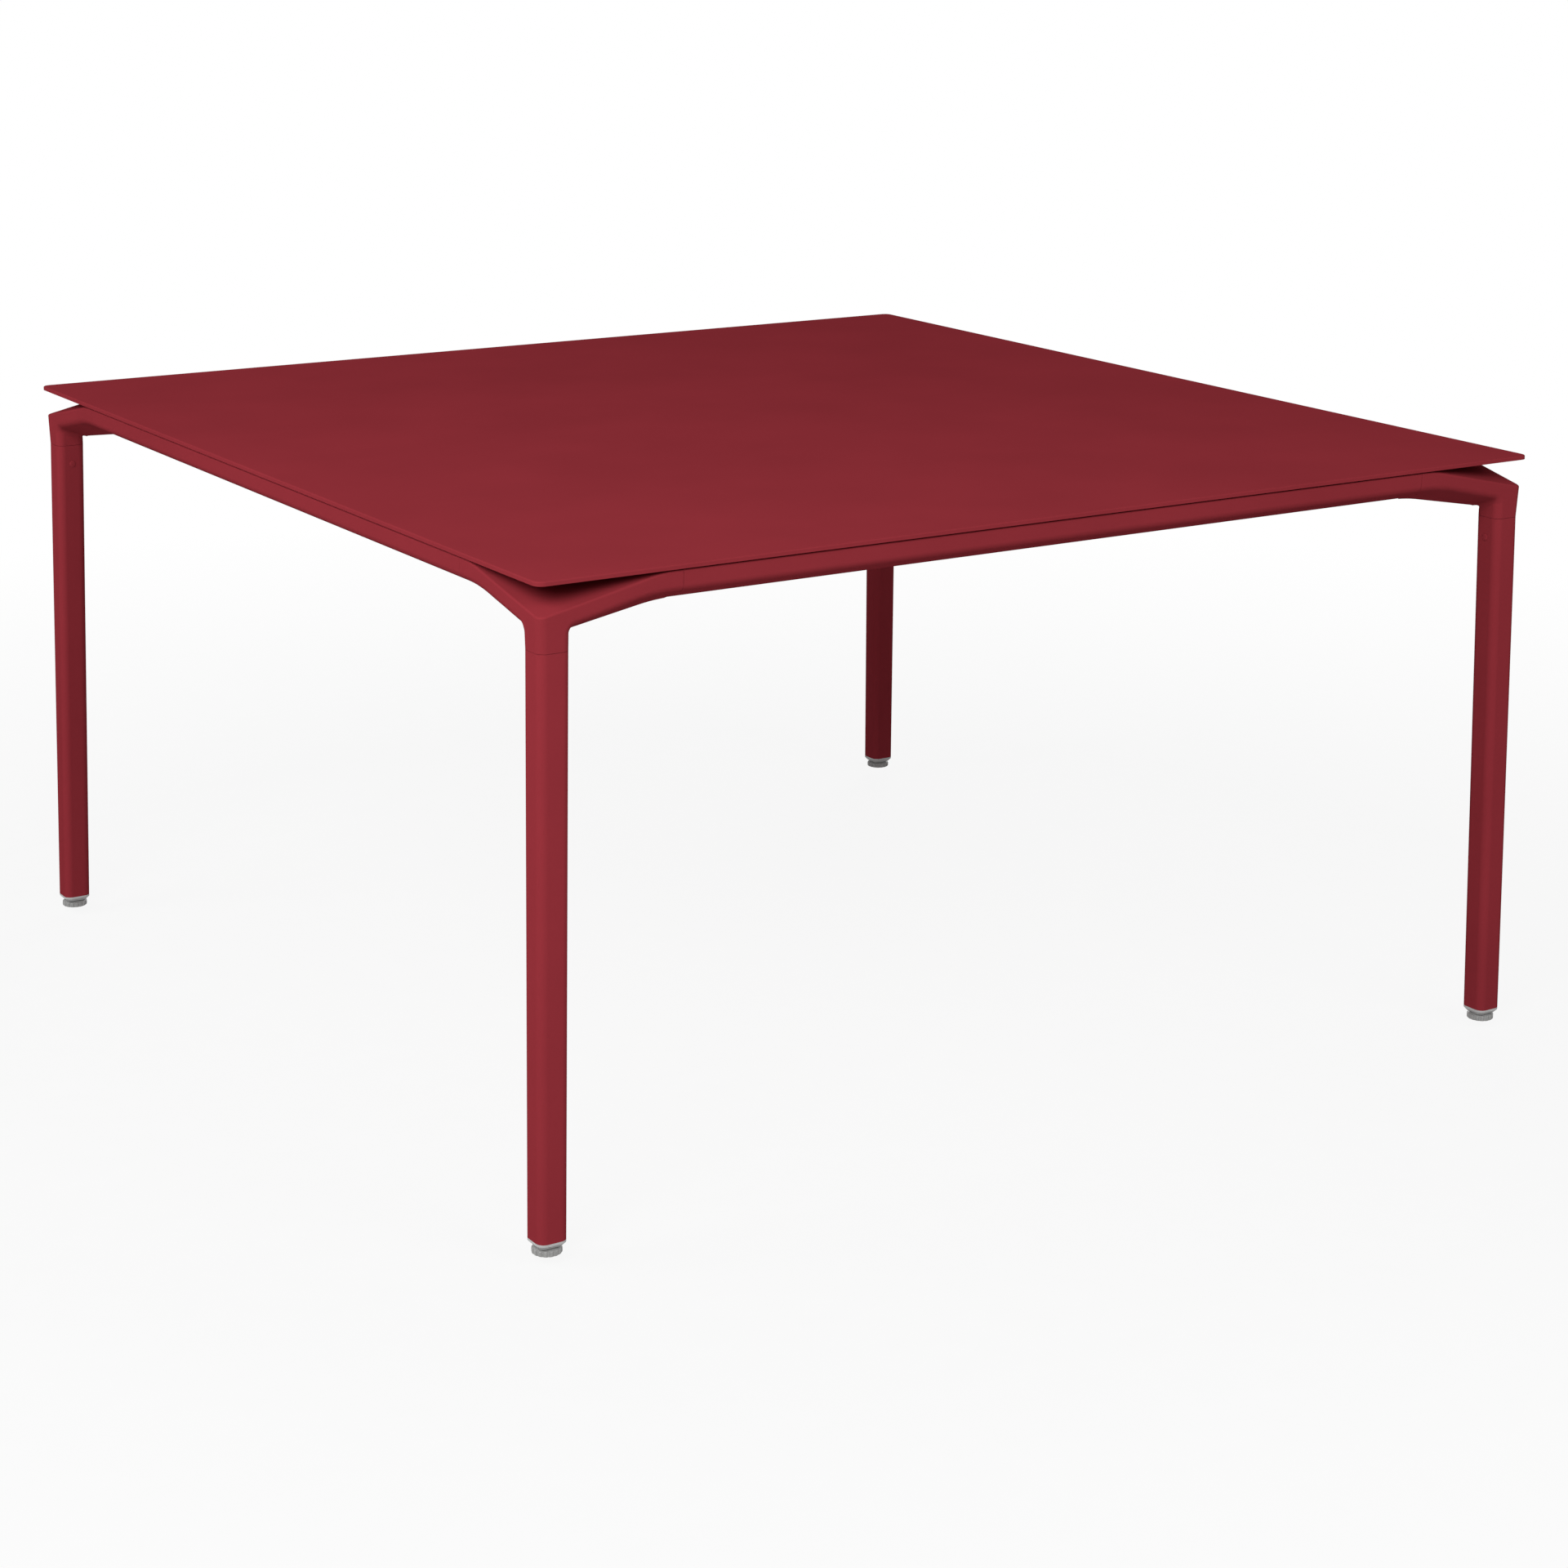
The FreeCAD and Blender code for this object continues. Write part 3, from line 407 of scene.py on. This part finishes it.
def join_loops(shape, lower, upper):
    """Join two loops of points by faces."""
    sides = len(lower)
    for step in range(sides):
        ahead = (step + 1) % sides
        shape.faces.new((lower[step], lower[ahead], upper[ahead], upper[step]))


def turn_piece(shape, rings, sides, place):
    """Add a turned piece that is closed at both ends."""
    loops = add_loops(shape, rings, sides, place)
    for lower, upper in zip(loops, loops[1:]):
        join_loops(shape, lower, upper)
    shape.faces.new(reversed(loops[0]))
    shape.faces.new(loops[-1])


def turn_ring(shape, rings, sides, place):
    """Add a turned piece with a hole through it: its last ring joins its first."""
    loops = add_loops(shape, rings, sides, place)
    for lower, upper in zip(loops, loops[1:] + loops[:1]):
        join_loops(shape, lower, upper)


def finish_piece(name, shape, material, body, replaced):
    """Turn a mesh into a piece that rides on a body, and hide the nodes of the frame whose place it
    takes.
    """
    bmesh.ops.recalc_face_normals(shape, faces=shape.faces[:])
    crease = math.radians(PLAIN_CREASE)
    for edge in shape.edges:
        edge.smooth = len(edge.link_faces) == 2 and edge.calc_face_angle() < crease
    for face in shape.faces:
        face.smooth = True
    mesh = bpy.data.meshes.new(name)
    shape.to_mesh(mesh)
    shape.free()
    mesh.materials.append(material)
    piece = bpy.data.objects.new(name, mesh)
    bpy.context.scene.collection.objects.link(piece)
    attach(piece, body)
    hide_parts(*replaced)


def solid_boxes(node):
    """Boxes of the separate solids in a node of the frame, in the order of their places."""
    shape = bmesh.new()
    shape.from_mesh(frame["nodes"][node].data)
    bmesh.ops.remove_doubles(shape, verts=shape.verts[:], dist=WELD)
    boxes = []
    left = set(shape.verts)
    while left:
        front = [left.pop()]
        found = list(front)
        while front:
            for edge in front.pop().link_edges:
                for vert in edge.verts:
                    if vert in left:
                        left.remove(vert)
                        front.append(vert)
                        found.append(vert)
        low = Vector(min(vert.co[axis] for vert in found) for axis in range(3))
        high = Vector(max(vert.co[axis] for vert in found) for axis in range(3))
        boxes.append((low, high))
    shape.free()
    return sorted(boxes, key=lambda box: tuple(box[0]))


def foot_of(low, high):
    """Middle of the lower end of a box."""
    return Vector(((low.x + high.x) / 2, (low.y + high.y) / 2, low.z))


def stand_at(point, direction):
    """Matrix that stands a turned piece at a point, its upper end along a direction."""
    return Matrix.Translation(point) @ UP.rotation_difference(direction).to_matrix().to_4x4()


# Threaded bars

# Rings for each turn of a thread
THREAD_STEPS = 6
# Bevel of a bar's ends, by the depth of its thread
THREAD_BEVEL = 1.2


def thread_rings(radius, length, pitch, depth):
    """Rings of a threaded bar whose two ends are bevelled."""
    count = round(length / pitch * THREAD_STEPS)
    rings = []
    for step in range(count + 1):
        height = length * step / count
        near_end = min(height, length - height)
        limit = radius - max(0.0, depth * THREAD_BEVEL - near_end)
        rings.append((height, thread_outline(radius, depth, pitch, height, limit)))
    return rings


# Headed screws

# Heights of the heads and radius of the shanks, by the radius of the head
LOW_HEAD_SHARE = 0.2667
BUTTON_HEAD_SHARE = 0.6222
SHANK_SHARE = 0.5556
# Bevelled tip of a shank, by the radius of the shank
TIP_RADIUS = 0.8
TIP_LENGTH = 0.2
# Side of a head: shares of its height and of its radius
LOW_HEAD = ((0.0, 1.0), (0.35, 1.0), (0.70, 0.90), (0.92, 0.70), (1.0, 0.40))
BUTTON_HEAD = ((0.0, 0.96), (0.08, 1.0), (0.30, 1.0), (0.62, 0.90), (0.86, 0.72))
# Flat top of a button head: share of its height, least share of its radius
CROWN_HEIGHT = 0.97
CROWN_RADIUS = 0.52
# Rim round a socket, bevel at its mouth and depth of the drill point at its bottom, in metres,
# and the width of that point, by the width of the socket
SOCKET_RIM = 0.0003
SOCKET_BEVEL = 0.0002
DRILL_DEPTH = 0.0003
DRILL_SHARE = 0.3


def shank_rings(radius, length):
    """Rings of a screw's shank, which ends at the zero level."""
    shank = radius * SHANK_SHARE
    return [
        (-length, round_outline(shank * TIP_RADIUS)),
        (-length + shank * TIP_LENGTH, round_outline(shank)),
        (0.0, round_outline(shank)),
    ]


def head_rings(profile, radius, height):
    """Rings of the side of a screw's head, which stands on the zero level."""
    return [(height * up, round_outline(radius * out)) for up, out in profile]


def low_screw_rings(radius, height, length):
    """Rings of a low domed screw whose socket is filled."""
    return shank_rings(radius, length) + head_rings(LOW_HEAD, radius, height)


def button_screw_rings(radius, height, length, settings):
    """Rings of a button head screw with a hexagon socket."""
    socket = hex_outline(settings.socket)
    rim = settings.socket / 2 / math.cos(math.pi / 6) + SOCKET_RIM
    floor = height - settings.socket_depth
    return shank_rings(radius, length) + head_rings(BUTTON_HEAD, radius, height) + [
        (height * CROWN_HEIGHT, round_outline(max(radius * CROWN_RADIUS, rim))),
        (height, round_outline(rim)),
        (height - SOCKET_BEVEL, socket),
        (floor, socket),
        (floor - DRILL_DEPTH, hex_outline(settings.socket * DRILL_SHARE)),
    ]


def add_headed_screws(shape, node, way_of, head_share, sides, rings_of):
    """Add a screw in the place of each solid of a node, its head facing its own way."""
    for low, high in solid_boxes(node):
        way = way_of(low, high)
        size = high - low
        total = abs(size.dot(way))
        radius = size.z / 2
        head = radius * head_share
        seat = (low + high) / 2 + way * (total / 2 - head)
        turn_piece(shape, rings_of(radius, head, total - head), sides, stand_at(seat, way))


def inward_of_leg(low, high):
    """Way of a leg screw's head: along its longer side, towards the middle of the table."""
    size = high - low
    middle = (low + high) / 2
    if size.x > size.y:
        return Vector((-math.copysign(1.0, middle.x), 0.0, 0.0))
    return Vector((0.0, -math.copysign(1.0, middle.y), 0.0))


def inward_of_rail(low, high):
    """Way of a plate screw's head: towards the middle of the table."""
    return Vector((0.0, -math.copysign(1.0, low.y), 0.0))


# Headless socket screws

# Tip, bevel and mouth by the screw's radius, socket and drill point by the settings' socket
GRUB_TIP_RADIUS = 0.7
GRUB_TIP_LENGTH = 0.3
GRUB_BEVEL = 0.25
GRUB_MOUTH = 0.8
GRUB_SOCKET = 0.9
GRUB_DEPTH = 1.4
GRUB_DRILL_DEPTH = 1.5
GRUB_DRILL = 0.2


def grub_screw_rings(radius, length, settings):
    """Rings of a headless screw whose socket opens at the zero level."""
    socket = hex_outline(settings.socket * GRUB_SOCKET)
    return [
        (-length, round_outline(radius * GRUB_TIP_RADIUS)),
        (-length + radius * GRUB_TIP_LENGTH, round_outline(radius)),
        (-radius * GRUB_BEVEL, round_outline(radius)),
        (0.0, round_outline(radius * GRUB_MOUTH)),
        (0.0, socket),
        (-settings.socket_depth * GRUB_DEPTH, socket),
        (-settings.socket_depth * GRUB_DRILL_DEPTH, hex_outline(settings.socket * GRUB_DRILL)),
    ]


# Nuts

# Bore by the flange's radius, mouth by the bore, bevel and flange by the nut's height, and flats
# by the widest hexagon that the flange covers
NUT_BORE = 0.52
NUT_MOUTH = 1.12
NUT_BEVEL = 0.14
NUT_FLANGE = 0.16
NUT_WIDTH = 0.97


def nut_rings(reach, height):
    """Rings of a flanged hexagon nut, from its bore round its outside and back to the bore."""
    width = reach * 2 * math.cos(math.pi / 6)
    bore = reach * NUT_BORE
    bevel = height * NUT_BEVEL
    flange = height * (1.0 - NUT_FLANGE)
    flats = hex_outline(width * NUT_WIDTH)
    crown = hex_outline(width * NUT_WIDTH, width / 2 * NUT_WIDTH)
    return [
        (height, round_outline(bore)),
        (height, round_outline(reach)),
        (flange, round_outline(reach)),
        (flange, flats),
        (bevel, flats),
        (0.0, crown),
        (0.0, round_outline(bore * NUT_MOUTH)),
        (bevel, round_outline(bore)),
    ]


# Operators, one for each group of like pieces

class TABLE_OT_coat_metalwork(bpy.types.Operator):
    """Coat the tabletop, rails, cast corners, legs and crossbars"""

    bl_idname = "table.coat_metalwork"
    bl_label = "Coat metalwork"

    def execute(self, context):
        names = ["tabletop"]
        names += [f"{side}_rail" for side in SIDES]
        for corner in CORNERS:
            names += [f"{corner}_corner", f"{corner}_leg"]
        for side in ("left", "right"):
            names.append(f"{side}_crossbar")
            names += [f"{side}_crossbar_{end}_plate" for end in ("front", "back")]
        finish_nodes(coat_finish(context), names, COAT_CREASE)
        return {"FINISHED"}


class TABLE_OT_finish_plastics(bpy.types.Operator):
    """Finish the plugs, turning pads, spacers and support pads"""

    bl_idname = "table.finish_plastics"
    bl_label = "Finish plastics"

    def execute(self, context):
        settings = context.scene.table_feet
        plugs = moulded_plastic("grey_plug_plastic", settings.plug_colour)
        finish_nodes(plugs, [f"{corner}_plug" for corner in CORNERS])
        pads = moulded_plastic("grey_pad_plastic", settings.pad_colour)
        finish_nodes(pads, [f"{corner}_pad" for corner in CORNERS])
        nylon = moulded_plastic("black_nylon", NYLON_COLOUR)
        finish_nodes(nylon, ["top_spacers", "support_pads"])
        return {"FINISHED"}


class TABLE_OT_finish_inner_metal(bpy.types.Operator):
    """Finish the joiners and the threaded inserts"""

    bl_idname = "table.finish_inner_metal"
    bl_label = "Finish inner metal"

    def execute(self, context):
        joiners = [name for name in frame["nodes"] if name.endswith("_joiner")]
        finish_nodes(bare_alloy(), joiners)
        finish_nodes(steel_finish(), [f"{corner}_insert" for corner in CORNERS])
        return {"FINISHED"}


class TABLE_OT_thread_stems(bpy.types.Operator):
    """Make the threaded stems of the levelling feet"""

    bl_idname = "table.thread_stems"
    bl_label = "Thread stems"

    def execute(self, context):
        settings = context.scene.table_feet
        sides = context.scene.table_fixings.sides
        for corner in CORNERS:
            low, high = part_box(f"{corner}_stem")
            rings = thread_rings((high.x - low.x) / 2, high.z - low.z, settings.pitch,
                                 settings.thread_depth)
            shape = bmesh.new()
            turn_piece(shape, rings, sides, Matrix.Translation(foot_of(low, high)))
            finish_piece(f"{corner}_threaded_stem", shape, steel_finish(),
                         f"{corner}_foot_stem", [f"{corner}_stem"])
        return {"FINISHED"}


class TABLE_OT_make_leg_screws(bpy.types.Operator):
    """Make the low screws that hold the legs, whose sockets are filled with the coat"""

    bl_idname = "table.make_leg_screws"
    bl_label = "Make leg screws"

    def execute(self, context):
        sides = context.scene.table_fixings.sides
        shape = bmesh.new()
        add_headed_screws(shape, "leg_screws", inward_of_leg, LOW_HEAD_SHARE, sides,
                          low_screw_rings)
        finish_piece("leg_low_screws", shape, coat_finish(context), "frame",
                     ["leg_screws"])
        return {"FINISHED"}


class TABLE_OT_make_plate_screws(bpy.types.Operator):
    """Make the button head screws that hold the crossbar plates"""

    bl_idname = "table.make_plate_screws"
    bl_label = "Make plate screws"

    def execute(self, context):
        settings = context.scene.table_fixings
        shape = bmesh.new()
        add_headed_screws(
            shape, "plate_screws", inward_of_rail, BUTTON_HEAD_SHARE, settings.sides,
            lambda radius, head, length: button_screw_rings(radius, head, length, settings))
        finish_piece("plate_button_screws", shape, steel_finish(), "frame",
                     ["plate_screws"])
        return {"FINISHED"}


class TABLE_OT_make_socket_screws(bpy.types.Operator):
    """Make the headless socket screws under the cast corners"""

    bl_idname = "table.make_socket_screws"
    bl_label = "Make socket screws"

    def execute(self, context):
        settings = context.scene.table_fixings
        shape = bmesh.new()
        for low, high in solid_boxes("joiner_screws"):
            rings = grub_screw_rings((high.x - low.x) / 2, high.z - low.z, settings)
            turn_piece(shape, rings, settings.sides, stand_at(foot_of(low, high), -UP))
        finish_piece("corner_socket_screws", shape, steel_finish(), "frame",
                     ["joiner_screws"])
        return {"FINISHED"}


class TABLE_OT_make_top_studs(bpy.types.Operator):
    """Make the threaded studs under the tabletop"""

    bl_idname = "table.make_top_studs"
    bl_label = "Make top studs"

    def execute(self, context):
        settings = context.scene.table_fixings
        shape = bmesh.new()
        for low, high in solid_boxes("top_studs"):
            rings = thread_rings((high.x - low.x) / 2, high.z - low.z, settings.stud_pitch,
                                 settings.stud_thread)
            turn_piece(shape, rings, settings.sides, Matrix.Translation(foot_of(low, high)))
        finish_piece("threaded_top_studs", shape, steel_finish(), "frame",
                     ["top_studs"])
        return {"FINISHED"}


class TABLE_OT_make_top_nuts(bpy.types.Operator):
    """Make the hexagon nuts under the tabletop"""

    bl_idname = "table.make_top_nuts"
    bl_label = "Make top nuts"

    def execute(self, context):
        sides = context.scene.table_fixings.sides
        shape = bmesh.new()
        for low, high in solid_boxes("top_nuts"):
            rings = nut_rings((high.x - low.x) / 2, high.z - low.z)
            turn_ring(shape, rings, sides, Matrix.Translation(foot_of(low, high)))
        finish_piece("hexagon_top_nuts", shape, steel_finish(), "frame",
                     ["top_nuts"])
        return {"FINISHED"}


# Stage: lengths in metres, turns from -Y towards -X and lifts in degrees

FLOOR_TONES = ((0.46, 0.46, 0.455), (0.50, 0.50, 0.50))
FLOOR_SPECK = 0.05
FLOOR_ROUGHNESS = 0.9
FLOOR_SPECULAR = 0.1
FLOOR_STEPS = 8
# Share of plain white in the floor that is seen, near the table and where the fade ends
FLOOR_WHITE = (0.90, 1.0)
FADE_START = 1.2
FADE_END = 3.0
# Turn of each near lamp and its share of their power
NEAR_LAMPS = {
    "left_lamp": (100.0, 0.32),
    "middle_lamp": (48.0, 0.44),
    "right_lamp": (-10.0, 0.24),
}
NEAR_LIFT = 29.0
NEAR_REACH = 4.6
NEAR_LAMP_SIZE = 2.2
FAR_TURN = 225.0
FAR_LIFT = 12.7
FAR_REACH = 7.25
FAR_LAMP_SIZE = 4.0
SENSOR_WIDTH = 36.0
WHITE = (1.0, 1.0, 1.0, 1.0)


class TABLE_OT_set_stage(bpy.types.Operator):
    """Set the floor, the light and the camera"""

    bl_idname = "table.set_stage"
    bl_label = "Set stage"

    def execute(self, context):
        settings = context.scene.table_stage
        context.scene.view_settings.view_transform = "Standard"
        make_floor(settings)
        make_room_light(context, settings)
        for name, (turn, share) in NEAR_LAMPS.items():
            make_lamp(name, settings.key_power * share, NEAR_LAMP_SIZE,
                      lamp_place(turn, NEAR_LIFT, NEAR_REACH))
        make_lamp("far_lamp", settings.fill_power, FAR_LAMP_SIZE,
                  lamp_place(FAR_TURN, FAR_LIFT, FAR_REACH))
        make_camera(context, settings)
        return {"FINISHED"}


def seen_rays(tree):
    """Factor that is one for rays from the camera, mirrors and glass."""
    path = tree.nodes.new("ShaderNodeLightPath")
    total = path.outputs["Is Camera Ray"]
    for name in ("Is Glossy Ray", "Is Transmission Ray"):
        larger = tree.nodes.new("ShaderNodeMath")
        larger.operation = "MAXIMUM"
        tree.links.new(total, larger.inputs[0])
        tree.links.new(path.outputs[name], larger.inputs[1])
        total = larger.outputs[0]
    return total


def foot_travel():
    """How far the levelling feet reach below their place at rest."""
    joints = frame["record"]["behaviour"]["joints"]
    return max(joint["range_m"][1] for joint in joints if joint["type"] == "slide")


def make_floor(settings):
    """Lay a pale floor at the lowest reach of the feet: it fades to white and keeps the shadow."""
    bpy.ops.mesh.primitive_grid_add(
        x_subdivisions=FLOOR_STEPS, y_subdivisions=FLOOR_STEPS, size=settings.floor_size,
        location=(0.0, 0.0, -foot_travel()))
    floor = bpy.context.object
    floor.name = "studio_floor"
    material, tree, shader = new_finish("pale_floor")
    specks = add_noise(tree, FLOOR_SPECK, detail=2.0)
    tree.links.new(add_tones(tree, specks, *FLOOR_TONES), shader.inputs["Base Color"])
    shader.inputs["Roughness"].default_value = FLOOR_ROUGHNESS
    shader.inputs["Specular IOR Level"].default_value = FLOOR_SPECULAR
    white = tree.nodes.new("ShaderNodeEmission")
    mix = tree.nodes.new("ShaderNodeMixShader")
    fade = tree.nodes.new("ShaderNodeMath")
    fade.operation = "MULTIPLY"
    place = tree.nodes.new("ShaderNodeTexCoord")
    length = tree.nodes.new("ShaderNodeVectorMath")
    length.operation = "LENGTH"
    tree.links.new(place.outputs["Object"], length.inputs[0])
    far = add_range(tree, length.outputs["Value"], *FLOOR_WHITE, FADE_START, FADE_END)
    tree.links.new(far, fade.inputs[0])
    tree.links.new(seen_rays(tree), fade.inputs[1])
    tree.links.new(fade.outputs[0], mix.inputs["Fac"])
    tree.links.new(shader.outputs[0], mix.inputs[1])
    tree.links.new(white.outputs[0], mix.inputs[2])
    tree.links.new(mix.outputs[0], tree.nodes["Material Output"].inputs["Surface"])
    floor.data.materials.append(material)


def make_room_light(context, settings):
    """Light the room evenly, and show it white behind the table."""
    world = bpy.data.worlds.new("white_room")
    world.use_nodes = True
    context.scene.world = world
    tree = world.node_tree
    even = tree.nodes["Background"]
    even.inputs["Color"].default_value = WHITE
    even.inputs["Strength"].default_value = settings.ambient
    white = tree.nodes.new("ShaderNodeBackground")
    white.inputs["Color"].default_value = WHITE
    mix = tree.nodes.new("ShaderNodeMixShader")
    tree.links.new(seen_rays(tree), mix.inputs["Fac"])
    tree.links.new(even.outputs[0], mix.inputs[1])
    tree.links.new(white.outputs[0], mix.inputs[2])
    tree.links.new(mix.outputs[0], tree.nodes["World Output"].inputs["Surface"])


def lamp_place(turn, lift, reach):
    """Place of a lamp by its turn, its lift and its distance from the table's middle."""
    across = Matrix.Rotation(-math.radians(turn), 3, "Z") @ Vector((0.0, -1.0, 0.0))
    way = across * math.cos(math.radians(lift)) + UP * math.sin(math.radians(lift))
    return TABLE_MIDDLE + reach * way


def make_lamp(name, power, size, place):
    """Hang a large soft lamp that faces the table."""
    lamp = bpy.data.lights.new(name, "AREA")
    lamp.shape = "DISK"
    lamp.size = size
    lamp.energy = power
    holder = bpy.data.objects.new(name, lamp)
    holder.location = place
    holder.rotation_euler = (TABLE_MIDDLE - place).to_track_quat("-Z", "Y").to_euler()
    bpy.context.scene.collection.objects.link(holder)


def make_camera(context, settings):
    """Stand the camera where the photograph was taken from."""
    camera = bpy.data.cameras.new("camera")
    camera.lens = settings.lens
    camera.sensor_width = SENSOR_WIDTH
    camera.shift_y = settings.shift
    holder = bpy.data.objects.new("camera", camera)
    turned = Matrix.Rotation(-settings.camera_turn, 4, "Z")
    dipped = Matrix.Rotation(math.pi / 2 - settings.camera_dip, 4, "X")
    rolled = Matrix.Rotation(settings.camera_roll, 4, "Z")
    holder.matrix_world = Matrix.Translation(settings.camera_place) @ turned @ dipped @ rolled
    context.scene.collection.objects.link(holder)
    context.scene.camera = holder


class TABLE_PT_tools(bpy.types.Panel):
    """Steps that dress the table"""

    bl_idname = "TABLE_PT_tools"
    bl_label = "Dining table"
    bl_space_type = "VIEW_3D"
    bl_region_type = "UI"
    bl_category = "Table"

    def draw(self, context):
        for name, group in SETTINGS.items():
            box = self.layout.box()
            box.label(text=group.__doc__)
            for field in group.__annotations__:
                box.prop(getattr(context.scene, name), field)
        for operator in OPERATORS:
            self.layout.operator(operator.bl_idname)


SETTINGS = {
    "table_coat": CoatSettings,
    "table_feet": FootSettings,
    "table_fixings": FixingSettings,
    "table_stage": StageSettings,
}
OPERATORS = (
    TABLE_OT_coat_metalwork,
    TABLE_OT_finish_plastics,
    TABLE_OT_finish_inner_metal,
    TABLE_OT_thread_stems,
    TABLE_OT_make_leg_screws,
    TABLE_OT_make_plate_screws,
    TABLE_OT_make_socket_screws,
    TABLE_OT_make_top_studs,
    TABLE_OT_make_top_nuts,
    TABLE_OT_set_stage,
)


def register():
    for group in SETTINGS.values():
        bpy.utils.register_class(group)
    for name, group in SETTINGS.items():
        setattr(bpy.types.Scene, name, PointerProperty(type=group))
    for operator in OPERATORS:
        bpy.utils.register_class(operator)
    bpy.utils.register_class(TABLE_PT_tools)


def unregister():
    bpy.utils.unregister_class(TABLE_PT_tools)
    for operator in reversed(OPERATORS):
        bpy.utils.unregister_class(operator)
    for name in SETTINGS:
        delattr(bpy.types.Scene, name)
    for group in reversed(SETTINGS.values()):
        bpy.utils.unregister_class(group)


def main():
    register()
    bpy.ops.table.coat_metalwork()
    bpy.ops.table.finish_plastics()
    bpy.ops.table.finish_inner_metal()
    bpy.ops.table.thread_stems()
    bpy.ops.table.make_leg_screws()
    bpy.ops.table.make_plate_screws()
    bpy.ops.table.make_socket_screws()
    bpy.ops.table.make_top_studs()
    bpy.ops.table.make_top_nuts()
    bpy.ops.table.set_stage()


if __name__ == "__main__":
    main()
